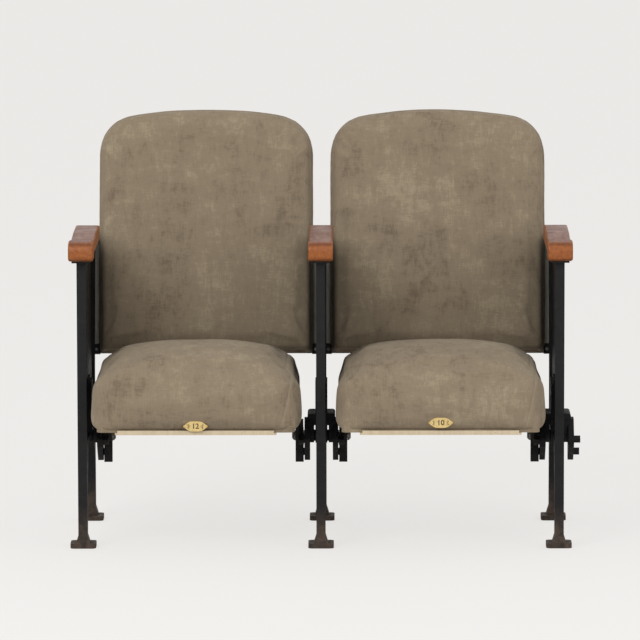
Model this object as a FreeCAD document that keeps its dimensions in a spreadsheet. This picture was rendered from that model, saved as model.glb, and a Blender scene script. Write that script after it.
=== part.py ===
import FreeCAD, Part
import os
import re
from math import atan2, sin, tan

import Sketcher

# A bank of two tip-up auditorium seats on three cast iron standards.
# X runs along the row, -Y is the front, Z is up. The origin is on the floor, in the
# middle of the four floor bolt holes of the centre standard.

# Driving dimensions, in millimetres and degrees
SIZES = {
    # Row and floor fixing
    "seat_pitch": 495,
    "floor_bolt_width": 34,
    "floor_bolt_length": 360,
    "floor_bolt_hole": 7,
    "foot_width": 53,
    "foot_depth": 52,
    "foot_thickness": 10,
    "foot_hole_inset": 25,
    "foot_corner": 9,
    # Cast standards
    "rim_width": 19,
    "rim_thickness": 9,
    "web_thickness": 6,
    "leg_depth": 30,
    "rear_leg_inset": 3,
    "arch_height": 210,
    "arch_corner": 120,
    "arch_rim": 12,
    "knee_drop": 30,
    "knee_radius": 240,
    "rail_reach": 330,
    "rail_radius": 60,
    "panel_corner": 14,
    "ankle_flare": 5,
    "ankle_height": 18,
    "block_margin": 4,
    # Armrests and the flange that carries them
    "armrest_width": 52,
    "armrest_length": 340,
    "armrest_overhang": 25,
    "armrest_thickness": 34,
    "armrest_crest": 20,
    "armrest_tail_drop": 3,
    "armrest_curve": 260,
    "armrest_waist_curve": 90,
    "armrest_dip": 9,
    "armrest_edge": 5,
    "arm_seat_height": 611,
    "arm_nose_drop": 8,
    "arm_flange_width": 38,
    "arm_flange_length": 310,
    "arm_flange_thickness": 4,
    "arm_screw": 5,
    # Backs
    "back_recline": 12,
    "back_setback": 345,
    "back_height": 366,
    "back_side_gap": 16.5,
    "back_length": 527,
    "back_corner": 85,
    "back_crown": 1000,
    "back_crown_slope": 8,
    "back_pad_depth": 48,
    "back_pad_edge": 20,
    "back_board_depth": 10,
    "back_board_inset": 7,
    "back_panel_depth": 4,
    "back_panel_inset": 5,
    "back_ear_length": 262,
    "back_ear_gap": 3.5,
    "back_lug_width": 21,
    "back_lug_depth": 8,
    "back_lug_height": 22,
    "back_bolt": 7,
    "back_bolt_offset": 14,
    "back_bolt_inset": 12,
    # Hinge brackets on the standards
    "pivot_setback": 190,
    "pivot_height": 210,
    "pivot_bolt": 12,
    "pivot_bolt_head": 22,
    "pivot_head_length": 7,
    "bracket_back": 7.5,
    "bracket_plate": 5,
    "bracket_width": 76,
    "bracket_top": 120,
    "bracket_drop": 14,
    "shelf_reach": 29,
    "shelf_height": 39,
    "shelf_thickness": 12,
    "hub_gap": 3,
    "hub_width": 58,
    "leaf_near": 24,
    "leaf_thickness": 11.5,
    "leaf_top": 38,
    "leaf_drop": 54,
    "stop_width": 8,
    "stop_low": 44,
    "stop_high": 30,
    "stop_reach": 13,
    "buffer_thickness": 5,
    "bracket_bolt": 8,
    "bracket_bolt_head": 14,
    "bracket_bolt_height": 90,
    "bracket_bolt_spacing": 44,
    # Hinge arms under the seats
    "tip_angle": 60,
    "arm_gap": 2,
    "arm_width": 17,
    "arm_plate": 8,
    "arm_hub": 34,
    "arm_tail": 18,
    "arm_drop": 56,
    "arm_length": 136,
    "seat_rise": 45,
    "flange_thickness": 6,
    "flange_width": 24,
    "bush_wall": 2,
    "running_gap": 0.3,
    "bearing_clearance": 0.05,
    "flange_screw": 5,
    "flange_screw_spacing": 96,
    # Seat cushions, with the boards and pans below them
    "cushion_side_gap": 28,
    "cushion_waist_gap": 39.5,
    "cushion_overhang": 88,
    "cushion_reach": 300,
    "cushion_lift": 1,
    "cushion_front_height": 129,
    "cushion_crown_height": 168,
    "cushion_rear_height": 142,
    "cushion_side_height": 151,
    "cushion_shoulder": 55,
    "cushion_crown": 800,
    "cushion_shift": 10,
    "board_side_gap": 43.5,
    "board_overhang": 76,
    "board_reach": 286,
    "board_thickness": 20,
    "board_clearance": 1,
    "pan_side_gap": 81,
    "pan_overhang": 84,
    "pan_reach": 252,
    "pan_thickness": 4,
    "pan_lip": 9,
    "pan_screw": 4,
    "pan_screw_inset": 25,
    "pan_screw_spacing": 120,
    # Number plates
    "plate_length": 53,
    "plate_height": 21,
    "plate_thickness": 1.5,
    "plate_rise": 14,
    "plate_step": 7,
    "plate_pin": 2,
    "plate_pin_length": 22,
}

doc = FreeCAD.newDocument("auditorium_seat_bank")
sheet = doc.addObject("Spreadsheet::Sheet", "Sizes")
for row, (alias, number) in enumerate(SIZES.items(), start=1):
    sheet.set(f"A{row}", alias.replace("_", " "))
    sheet.set(f"B{row}", str(number))
    sheet.setAlias(f"B{row}", alias)
doc.recompute()

V = FreeCAD.Vector
PARTS = []


def linked(text):
    """An expression in which each size's name points at its cell."""
    return re.sub(r"[a-z_]+", lambda word: "Sizes." + word[0] if word[0] in SIZES else word[0], str(text))


def value(text):
    return float(sheet.evalExpression(linked(text)))


def less(text):
    return f"(-({text}))"


# Sketches, pads and pockets

def new_body(name, across="0"):
    body = doc.addObject("PartDesign::Body", name)
    body.Label = name
    body.setExpression("Placement.Base.x", linked(across))
    PARTS.append(body)
    return body


def new_sketch(body, name, plane, level):
    """A sketch on one of the body's origin planes, moved along that plane's axis to level."""
    sketch = body.newObject("Sketcher::SketchObject", f"{body.Name}_{name}_sketch")
    origin_plane = next(item for item in body.Origin.OriginFeatures if item.Role == plane)
    sketch.AttachmentSupport = [(origin_plane, "")]
    sketch.MapMode = "FlatFace"
    # The XZ plane faces the front, against the Y axis
    offset = less(level) if plane == "XZ_Plane" else level
    sketch.setExpression("AttachmentOffset.Base.z", linked(offset))
    return sketch


def draw_outline(sketch, corners):
    """A closed outline through corners of (across, up, radius), rounded where the radius isn't 0."""
    points = [V(value(across), value(up), 0) for across, up, _ in corners]
    starts, ends, centres, lefts = [], [], [], []
    for index, (point, corner) in enumerate(zip(points, corners)):
        radius = value(corner[2])
        back = (points[index - 1] - point).normalize()
        ahead = (points[(index + 1) % len(points)] - point).normalize()
        half = back.getAngle(ahead) / 2
        reach = radius / tan(half)
        starts.append(point + back * reach)
        ends.append(point + ahead * reach)
        centres.append(point + (back + ahead).normalize() * (radius / sin(half)) if radius else None)
        lefts.append(ahead.cross(back).z > 0)
    sides = []
    for index in range(len(points)):
        following = (index + 1) % len(points)
        sides.append(sketch.addGeometry(Part.LineSegment(ends[index], starts[following]), False))
    rules = []
    bound = []
    for index, (point, corner) in enumerate(zip(points, corners)):
        before, after = sides[index - 1], sides[index]
        if centres[index] is None:
            rules.append(Sketcher.Constraint("Coincident", before, 2, after, 1))
            marker = after
        else:
            first, last = (starts[index], ends[index]) if lefts[index] else (ends[index], starts[index])
            centre = centres[index]
            circle = Part.Circle(centre, V(0, 0, 1), value(corner[2]))
            angles = [atan2(end.y - centre.y, end.x - centre.x) for end in (first, last)]
            arc = sketch.addGeometry(Part.ArcOfCircle(circle, angles[0], angles[1]), False)
            marker = sketch.addGeometry(Part.Point(point), True)
            rules.append(Sketcher.Constraint("PointOnObject", marker, 1, before))
            rules.append(Sketcher.Constraint("PointOnObject", marker, 1, after))
            rules.append(Sketcher.Constraint("Tangent", before, 2, arc, 1 if lefts[index] else 2))
            rules.append(Sketcher.Constraint("Tangent", arc, 2 if lefts[index] else 1, after, 1))
            bound.append((len(rules), corner[2]))
            rules.append(Sketcher.Constraint("Radius", arc, value(corner[2])))
        bound.append((len(rules), corner[0]))
        rules.append(Sketcher.Constraint("DistanceX", -1, 1, marker, 1, point.x))
        bound.append((len(rules), corner[1]))
        rules.append(Sketcher.Constraint("DistanceY", -1, 1, marker, 1, point.y))
    first_rule = sketch.addConstraint(rules)[0]
    for place, text in bound:
        sketch.setExpression(f"Constraints[{first_rule + place}]", linked(text))


def draw_circles(sketch, centres, diameter):
    for across, up in centres:
        radius = value(diameter) / 2
        circle = sketch.addGeometry(Part.Circle(V(value(across), value(up), 0), V(0, 0, 1), radius), False)
        rules = [
            Sketcher.Constraint("DistanceX", -1, 1, circle, 3, value(across)),
            Sketcher.Constraint("DistanceY", -1, 1, circle, 3, value(up)),
            Sketcher.Constraint("Diameter", circle, value(diameter)),
        ]
        first_rule = sketch.addConstraint(rules)[0]
        for place, text in enumerate((across, up, diameter)):
            sketch.setExpression(f"Constraints[{first_rule + place}]", linked(text))


def add_feature(kind, body, name, plane, near, far, draw):
    """A pad or pocket between two levels of the plane's axis, from the sketch that draw fills."""
    # A pad grows along the plane's normal and a pocket cuts against it
    starts_low = (kind == "Pad") == (plane != "XZ_Plane")
    sketch = new_sketch(body, name, plane, near if starts_low else far)
    draw(sketch)
    feature = body.newObject(f"PartDesign::{kind}", f"{body.Name}_{name}")
    feature.Profile = sketch
    feature.setExpression("Length", linked(f"({far}) - ({near})"))
    return feature


def pad(body, name, plane, near, far, corners):
    return add_feature("Pad", body, name, plane, near, far, lambda sketch: draw_outline(sketch, corners))


def pocket(body, name, plane, near, far, corners):
    return add_feature("Pocket", body, name, plane, near, far, lambda sketch: draw_outline(sketch, corners))


def round_pad(body, name, plane, near, far, centre, diameter):
    return add_feature("Pad", body, name, plane, near, far,
                       lambda sketch: draw_circles(sketch, [centre], diameter))


def drill(body, name, plane, near, far, centres, diameter):
    return add_feature("Pocket", body, name, plane, near, far,
                       lambda sketch: draw_circles(sketch, centres, diameter))


def trim_outside(body, name, plane, near, far, corners, reach):
    """Cut away all that lies outside an outline."""
    def draw(sketch):
        draw_outline(sketch, rectangle(less(reach), reach, less(reach), reach))
        draw_outline(sketch, corners)
    return add_feature("Pocket", body, name, plane, near, far, draw)


def rectangle(low_across, high_across, low_up, high_up, radius="0"):
    return [
        (low_across, low_up, radius),
        (high_across, low_up, radius),
        (high_across, high_up, radius),
        (low_across, high_up, radius),
    ]


def span(side, near, far):
    """The two levels, low one first, of a stretch that runs out from a standard's centre."""
    return (near, far) if side > 0 else (less(far), less(near))


def soften(body, name, size, wanted):
    """Round the edges for which wanted is true."""
    doc.recompute()
    last = body.Tip
    edges = [f"Edge{number}" for number, edge in enumerate(last.Shape.Edges, start=1) if wanted(edge)]
    fillet = body.newObject("PartDesign::Fillet", f"{body.Name}_{name}")
    fillet.Base = (last, edges)
    fillet.setExpression("Radius", linked(size))
    return fillet


# Turned pieces and their holes

TURNS = {"x": (V(0, 1, 0), 90), "-x": (V(0, 1, 0), -90), "z": (V(0, 0, 1), 0), "-z": (V(1, 0, 0), 180),
         "y": (V(1, 0, 0), -90)}


def place(item, base, axis):
    """Put a cylinder or cone at base, pointing along axis; "back" is square to the reclined backs."""
    turn, angle = (V(1, 0, 0), -90) if axis == "back" else TURNS[axis]
    item.Placement = FreeCAD.Placement(V(0, 0, 0), FreeCAD.Rotation(turn, angle))
    if axis == "back":
        item.setExpression("Placement.Rotation.Angle", linked("-(90 + back_recline)"))
    for letter, text in zip("xyz", base):
        item.setExpression(f"Placement.Base.{letter}", linked(text))


def size_round(item, diameter, length, end_diameter):
    if end_diameter is None:
        item.setExpression("Radius", linked(f"({diameter}) / 2"))
    else:
        item.setExpression("Radius1", linked(f"({diameter}) / 2"))
        item.setExpression("Radius2", linked(f"({end_diameter}) / 2"))
    item.setExpression("Height", linked(length))


def rod(name, base, axis, diameter, length, end_diameter=None):
    item = doc.addObject("Part::Cylinder" if end_diameter is None else "Part::Cone", name)
    size_round(item, diameter, length, end_diameter)
    place(item, base, axis)
    return item


def bore(body, name, base, axis, diameter, length, end_diameter=None):
    kind = "PartDesign::SubtractiveCylinder" if end_diameter is None else "PartDesign::SubtractiveCone"
    item = body.newObject(kind, f"{body.Name}_{name}")
    size_round(item, diameter, length, end_diameter)
    place(item, base, axis)
    return item


def group(name, pieces):
    """One node made of several turned or moulded pieces."""
    fuse = doc.addObject("Part::MultiFuse", name)
    fuse.Label = name
    fuse.Shapes = pieces
    fuse.Refine = True
    PARTS.append(fuse)
    return fuse


# Places that several pieces share

FRONT = "(-(floor_bolt_length / 2 + foot_hole_inset))"
PIVOT_Y = f"({FRONT} + pivot_setback)"
PIVOT_Z = "pivot_height"
BACK_Y = f"({FRONT} + back_setback)"
BACK_WIDTH = "(seat_pitch - 2 * back_side_gap)"
CUSHION_WIDTH = "(seat_pitch - 2 * cushion_side_gap)"
BOARD_WIDTH = "(seat_pitch - 2 * board_side_gap)"
PAN_WIDTH = "(seat_pitch - 2 * pan_side_gap)"
BOARD_FACE = "back_pad_depth"
PANEL_FACE = "(back_pad_depth + back_board_depth)"
PANEL_REAR = "(back_pad_depth + back_board_depth + back_panel_depth)"
ARM_FLANGE_BASE = "(arm_seat_height - arm_flange_thickness)"
NOSE_BASE = "(arm_seat_height - arm_nose_drop)"
ARM_TOP = "(arm_seat_height + armrest_thickness)"
ARM_STEP = f"({FRONT} + 1.5 * leg_depth)"
LEAF_FAR = "(leaf_near + leaf_thickness)"
ARM_NEAR = f"({LEAF_FAR} + arm_gap)"
ARM_FAR = f"({ARM_NEAR} + arm_width)"
FLANGE_SCREW = f"({ARM_FAR} + (flange_width - arm_plate) / 2)"
BRACKET_FAR = "(bracket_back + bracket_plate)"
BOARD_BASE = "(pivot_height + seat_rise)"
CUSHION_BASE = "(pivot_height + seat_rise + cushion_lift)"
STOP_NEAR = "(arm_tail / 2 + running_gap + buffer_thickness)"
STOP_FAR = f"({STOP_NEAR} + stop_width)"

STANDARDS = {"left": "-seat_pitch", "centre": "0", "right": "seat_pitch"}
# The sides of each standard that carry a hinge bracket, and the sides that carry a back
BRACKET_SIDES = {"left": [1], "centre": [-1, 1], "right": [-1, 1]}
BACK_SIDES = {"left": [1], "centre": [-1, 1], "right": [-1]}
SEATS = {"left": "(-seat_pitch / 2)", "right": "(seat_pitch / 2)"}
SEAT_MIDDLES = {"left": "(-seat_pitch / 2 - cushion_shift)", "right": "(seat_pitch / 2)"}
PLATE_HEIGHTS = {"left": f"({CUSHION_BASE} + plate_rise)", "right": f"({CUSHION_BASE} + plate_rise + plate_step)"}
# Each seat hangs between two standards, from the side of them that faces it
SEAT_HINGES = {
    "left": [("left", "left", 1), ("right", "centre", -1)],
    "right": [("left", "centre", 1), ("right", "right", -1)],
}


def back_point(depth, height, radius="0"):
    """A point of the reclined backs, seen from the side, as Y and Z."""
    return (
        f"{BACK_Y} + ({depth}) * cos(back_recline) + ({height}) * sin(back_recline)",
        f"back_height - ({depth}) * sin(back_recline) + ({height}) * cos(back_recline)",
        radius,
    )


def about_pivot(y, z, radius="0"):
    return f"{PIVOT_Y} + ({y})", f"{PIVOT_Z} + ({z})", radius


def swung(y, z, radius="0"):
    """Where the mirror image of a point beside the hinge arm's tail lies once the seat is tipped up."""
    return about_pivot(
        f"-({y}) * cos(tip_angle) + ({z}) * sin(tip_angle)",
        f"({y}) * sin(tip_angle) + ({z}) * cos(tip_angle)",
        radius,
    )


# Standards

def arm_flange_outline():
    """The iron flange under an armrest, stepped down below the armrest's nose."""
    return [
        (f"{FRONT} - armrest_overhang / 2", f"{NOSE_BASE} - arm_flange_thickness", "1"),
        (f"{ARM_STEP} - arm_flange_thickness / 2", f"{NOSE_BASE} - arm_flange_thickness", "0"),
        (f"{ARM_STEP} + arm_nose_drop - arm_flange_thickness / 2", ARM_FLANGE_BASE, "0"),
        (f"{FRONT} + arm_flange_length", ARM_FLANGE_BASE, "0"),
        (f"{FRONT} + arm_flange_length", "arm_seat_height", "0"),
        (f"{ARM_STEP} + arm_nose_drop", "arm_seat_height", "0"),
        (ARM_STEP, NOSE_BASE, "0"),
        (f"{FRONT} - armrest_overhang / 2", NOSE_BASE, "1"),
    ]


def standard_outline():
    """The whole casting from the side: two legs, an arch between them, a rail and a reclined rear edge."""
    ankle = "foot_thickness / 2"
    return [
        (FRONT, ankle, "0"),
        (f"{FRONT} + leg_depth", ankle, "0"),
        (f"{FRONT} + leg_depth", "arch_height", "arch_corner"),
        (f"-{FRONT} - leg_depth - rear_leg_inset", "arch_height", "arch_corner"),
        (f"-{FRONT} - leg_depth - rear_leg_inset", ankle, "0"),
        (f"-{FRONT} - rear_leg_inset", ankle, "0"),
        back_point(PANEL_FACE, "-knee_drop", "knee_radius"),
        back_point(PANEL_FACE, "back_ear_length", "rim_thickness"),
        (f"{FRONT} + rail_reach", ARM_FLANGE_BASE, "rail_radius"),
        (f"{ARM_STEP} + arm_nose_drop", ARM_FLANGE_BASE, "0"),
        (ARM_STEP, f"{NOSE_BASE} - arm_flange_thickness / 2", "0"),
        (FRONT, f"{NOSE_BASE} - arm_flange_thickness / 2", "0"),
    ]


def web_panel_outline():
    """The sunk panel inside the casting's rim."""
    knee_y, knee_z, _ = back_point(PANEL_FACE, "-knee_drop")
    top_y, top_z, _ = back_point(PANEL_FACE, "back_ear_length")
    return [
        (f"{FRONT} + rim_thickness", "arch_height + arch_rim", "panel_corner"),
        (f"-{FRONT} - rear_leg_inset - rim_thickness", "arch_height + arch_rim", "panel_corner"),
        (f"{knee_y} - rim_thickness", knee_z, "knee_radius"),
        (f"{top_y} - 1.3 * rim_thickness", f"{top_z} - rim_thickness", "panel_corner"),
        (f"{FRONT} + rail_reach", f"{ARM_FLANGE_BASE} - rim_thickness", "rail_radius"),
        (f"{FRONT} + rim_thickness", f"{NOSE_BASE} - 2 * rim_thickness", "panel_corner"),
    ]


def make_standard(key):
    body = new_body(f"{key}_standard", STANDARDS[key])
    half_rim = "rim_width / 2"
    pad(body, "casting", "YZ_Plane", less(half_rim), half_rim, standard_outline())
    for side in (-1, 1):
        near, far = span(side, "web_thickness / 2", half_rim)
        pocket(body, f"panel_{'left' if side < 0 else 'right'}", "YZ_Plane", near, far, web_panel_outline())
    # A thicker block behind the hinge brackets, let into the rim below
    half_block = "bracket_width / 2 + block_margin"
    block = rectangle(f"{PIVOT_Y} - ({half_block})", f"{PIVOT_Y} + {half_block}",
                      "arch_height", "pivot_height + bracket_top + block_margin")
    pad(body, "block", "YZ_Plane", "-bracket_back", "bracket_back", block)
    recess = rectangle(f"{PIVOT_Y} - ({half_block})", f"{PIVOT_Y} + {half_block}",
                       "arch_height - leg_depth", "pivot_height + bracket_top + block_margin")
    for side in (-1, 1):
        near, far = span(side, "bracket_back", f"{half_rim} + 1")
        pocket(body, f"recess_{'left' if side < 0 else 'right'}", "YZ_Plane", near, far, recess)
    half_flange = "arm_flange_width / 2"
    pad(body, "arm_flange", "YZ_Plane", less(half_flange), half_flange, arm_flange_outline())
    for foot, edge in (("front", FRONT), ("rear", f"-{FRONT} - foot_depth")):
        plan = rectangle("-foot_width / 2", "foot_width / 2", edge, f"{edge} + foot_depth", "foot_corner")
        pad(body, f"{foot}_foot", "XY_Plane", "0", "foot_thickness", plan)
    # Flared ankles between the legs and their feet
    half_ankle = "rim_width / 2 + ankle_flare"
    for ankle, low, high in (("front", FRONT, f"{FRONT} + leg_depth"),
                             ("rear", f"-{FRONT} - leg_depth - rear_leg_inset", f"-{FRONT} - rear_leg_inset")):
        flare = [
            (less(half_ankle), "foot_thickness / 2", "0"),
            (half_ankle, "foot_thickness / 2", "0"),
            (half_ankle, "foot_thickness + 2", "0"),
            (half_rim, "foot_thickness + ankle_height", "0"),
            (less(half_rim), "foot_thickness + ankle_height", "0"),
            (less(half_ankle), "foot_thickness + 2", "0"),
        ]
        pad(body, f"{ankle}_ankle", "XZ_Plane", low, high, flare)
    holes = [(f"{x} * floor_bolt_width / 2", f"{y} * floor_bolt_length / 2") for x in (-1, 1) for y in (-1, 1)]
    drill(body, "floor_holes", "XY_Plane", "-1", "foot_thickness + 20", holes, "floor_bolt_hole")
    # Lugs for the backs, low and high on the rear edge
    lugs = {"low": "0", "high": "back_ear_length - back_lug_height"}
    for side in BACK_SIDES[key]:
        way = "left" if side < 0 else "right"
        for level, low in lugs.items():
            side_view = [
                back_point(f"{PANEL_FACE} - back_lug_depth", low),
                back_point(PANEL_FACE, low),
                back_point(PANEL_FACE, f"{low} + back_lug_height"),
                back_point(f"{PANEL_FACE} - back_lug_depth", f"{low} + back_lug_height"),
            ]
            near, far = span(side, "0", "back_lug_width")
            pad(body, f"{level}_lug_{way}", "YZ_Plane", near, far, side_view)
        for level, height in back_bolt_heights().items():
            y, z, _ = back_point(f"{PANEL_FACE} - back_lug_depth - 1", height)
            bore(body, f"{level}_lug_hole_{way}", (f"{side} * back_bolt_offset", y, z), "back",
                 "back_bolt", "back_lug_depth + 4")
    for end, y in bracket_bolt_places().items():
        bore(body, f"{end}_bracket_hole", ("-bracket_back - 1", y, f"{PIVOT_Z} + bracket_bolt_height"), "x",
             "bracket_bolt", "2 * bracket_back + 2")
    for number, (x, y) in enumerate(arm_screw_places()):
        bore(body, f"arm_hole_{number}", (x, y, f"{ARM_FLANGE_BASE} - 1"), "z", "arm_screw",
             "arm_flange_thickness + 2")
    return body


def back_bolt_heights():
    return {"low": "(back_lug_height - back_bolt_inset)", "high": "(back_ear_length - back_bolt_inset)"}


def bracket_bolt_places():
    return {"front": f"({PIVOT_Y} - bracket_bolt_spacing / 2)", "rear": f"({PIVOT_Y} + bracket_bolt_spacing / 2)"}


def arm_screw_places():
    aside = "(arm_flange_width + rim_width) / 4"
    return [(f"{side} * {aside}", f"{FRONT} + {share} * arm_flange_length")
            for side in (-1, 1) for share in (0.35, 0.85)]


# Armrests

def make_armrest(key):
    body = new_body(f"{key}_armrest", STANDARDS[key])
    half = "armrest_width / 2"
    nose = f"({FRONT} - armrest_overhang)"
    tail = f"({nose} + armrest_length)"
    side_view = [
        (nose, NOSE_BASE, "12"),
        (ARM_STEP, NOSE_BASE, "0"),
        (f"{ARM_STEP} + arm_nose_drop", "arm_seat_height", "0"),
        (tail, "arm_seat_height", "2"),
        (tail, f"{ARM_TOP} - armrest_tail_drop", "6"),
        (f"{nose} + 0.6 * armrest_length", f"{ARM_TOP} - armrest_tail_drop", "armrest_curve"),
        (f"{nose} + 0.3 * armrest_length", f"{ARM_TOP} - armrest_dip", "armrest_waist_curve"),
        (f"{nose} + 0.1 * armrest_length", ARM_TOP, "armrest_crest"),
        (nose, f"{ARM_TOP} - 4", "armrest_crest"),
    ]
    pad(body, "block", "YZ_Plane", less(half), half, side_view)
    top = value(f"{ARM_TOP} - armrest_dip - 4")
    soften(body, "top_edges", "armrest_edge",
           lambda edge: edge.BoundBox.ZMin > top and edge.BoundBox.XLength < 1)
    plan = [
        (less(half), nose, "6"),
        (half, nose, "6"),
        (half, f"{nose} + 0.15 * armrest_length", "60"),
        (f"{half} - 2", f"{nose} + 0.3 * armrest_length", "300"),
        (f"{half} - 1", tail, "4"),
        (f"-({half} - 1)", tail, "4"),
        (f"-({half} - 2)", f"{nose} + 0.3 * armrest_length", "300"),
        (less(half), f"{nose} + 0.15 * armrest_length", "60"),
    ]
    trim_outside(body, "plan", "XY_Plane", f"{NOSE_BASE} - 5", f"{ARM_TOP} + 20", plan, "armrest_length")
    for number, (x, y) in enumerate(arm_screw_places()):
        bore(body, f"screw_hole_{number}", (x, y, "arm_seat_height - 1"), "z", "arm_screw", "20")
    return body


def make_armrest_screws():
    pieces = []
    for key, across in STANDARDS.items():
        for number, (x, y) in enumerate(arm_screw_places()):
            base = f"{across} + {x}"
            pieces.append(rod(f"{key}_arm_screw_head_{number}", (base, y, ARM_FLANGE_BASE), "-z",
                              "1.8 * arm_screw", "2.5", "arm_screw"))
            pieces.append(rod(f"{key}_arm_screw_{number}", (base, y, ARM_FLANGE_BASE), "z",
                              "arm_screw", "arm_flange_thickness + 18"))
    return group("armrest_screws", pieces)


# Backs

def recline(body):
    """Stand a body, modelled upright, at the foot of the reclined backs."""
    body.Placement = FreeCAD.Placement(V(0, 0, 0), FreeCAD.Rotation(V(1, 0, 0), -1))
    body.setExpression("Placement.Rotation.Angle", linked("-back_recline"))
    body.setExpression("Placement.Base.y", linked(BACK_Y))
    body.setExpression("Placement.Base.z", linked("back_height"))


def back_crest(inset, corner):
    """The corners of a back's domed top, from the right side to the left."""
    half = f"({BACK_WIDTH} / 2 - ({inset}))"
    apex = f"(back_length - ({inset}) + back_crown * (1 / cos(back_crown_slope) - 1))"
    shoulder = f"({apex} - {half} * tan(back_crown_slope))"
    return [(half, shoulder, corner), ("0", apex, "back_crown"), (less(half), shoulder, corner)]


def make_back_pad(key):
    body = new_body(f"{key}_back_pad", SEATS[key])
    recline(body)
    half = f"{BACK_WIDTH} / 2"
    outline = [(less(half), "0", "14"), (half, "0", "14")] + back_crest("0", "back_corner")
    pad(body, "padding", "XZ_Plane", "0", "back_pad_depth", outline)
    soften(body, "front_edges", "back_pad_edge", lambda edge: edge.BoundBox.YMax < 1)
    return body


def make_back_board(key):
    body = new_body(f"{key}_back_board", SEATS[key])
    recline(body)
    half = f"({BACK_WIDTH} / 2 - back_board_inset)"
    outline = [(less(half), "back_board_inset", "14"), (half, "back_board_inset", "14")]
    outline += back_crest("back_board_inset", "back_corner - back_board_inset")
    pad(body, "ply", "XZ_Plane", BOARD_FACE, PANEL_FACE, outline)
    drill(body, "screw_holes", "XZ_Plane", f"{PANEL_FACE} - 7", f"{PANEL_FACE} + 1", board_screw_places(), "4")
    return body


def make_back_panel(key):
    body = new_body(f"{key}_back_panel", SEATS[key])
    recline(body)
    ear = "(seat_pitch / 2 - back_ear_gap)"
    waist = f"({BACK_WIDTH} / 2 - back_panel_inset)"
    crest = back_crest("back_panel_inset", "back_corner - back_panel_inset")
    outline = [
        (less(ear), "2", "8"),
        (ear, "2", "8"),
        (ear, "back_ear_length", "8"),
        (waist, "back_ear_length + 16", "10"),
        *crest,
        (less(waist), "back_ear_length + 16", "10"),
        (less(ear), "back_ear_length", "8"),
    ]
    pad(body, "sheet", "XZ_Plane", PANEL_FACE, PANEL_REAR, outline)
    drill(body, "screw_holes", "XZ_Plane", f"{PANEL_FACE} - 1", f"{PANEL_REAR} + 1", board_screw_places(), "4")
    drill(body, "bolt_holes", "XZ_Plane", f"{PANEL_FACE} - 1", f"{PANEL_REAR} + 1", ear_bolt_places(), "back_bolt")
    return body


def board_screw_places():
    return [(f"{side} * 0.38 * {BACK_WIDTH}", f"{share} * back_length") for side in (-1, 1)
            for share in (0.1, 0.45, 0.78)]


def ear_bolt_places():
    return [(f"{side} * (seat_pitch / 2 - back_bolt_offset)", height) for side in (-1, 1)
            for height in back_bolt_heights().values()]


def make_back_fastenings(key):
    """Screws that hold panel and board together, and bolts that hold the panel's ears to the lugs."""
    screws = []
    for number, (x, height) in enumerate(board_screw_places()):
        y, z, _ = back_point(f"{PANEL_FACE} - 6", height)
        screws.append(rod(f"{key}_board_screw_{number}", (f"{SEATS[key]} + {x}", y, z), "back",
                          "4", "back_panel_depth + 7"))
        y, z, _ = back_point(PANEL_REAR, height)
        screws.append(rod(f"{key}_board_screw_head_{number}", (f"{SEATS[key]} + {x}", y, z), "back",
                          "8", "1.6", "5"))
    group(f"{key}_back_screws", screws)
    bolts = []
    for number, (x, height) in enumerate(ear_bolt_places()):
        y, z, _ = back_point(f"{PANEL_FACE} - back_lug_depth", height)
        bolts.append(rod(f"{key}_ear_bolt_{number}", (f"{SEATS[key]} + {x}", y, z), "back",
                         "back_bolt", "back_lug_depth + back_panel_depth + 1"))
        y, z, _ = back_point(PANEL_REAR, height)
        bolts.append(rod(f"{key}_ear_bolt_head_{number}", (f"{SEATS[key]} + {x}", y, z), "back",
                         "1.8 * back_bolt", "4", "1.3 * back_bolt"))
    group(f"{key}_back_bolts", bolts)


# Hinge brackets and what they carry

def stop_outline(near, far, turn):
    """A block beside the arm's tail, behind it or, turned, where the tail ends when tipped up."""
    return [
        turn(near, "-stop_low"),
        turn(far, "-stop_low"),
        turn(far, "-stop_high"),
        turn(near, "-stop_high"),
    ]


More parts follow.
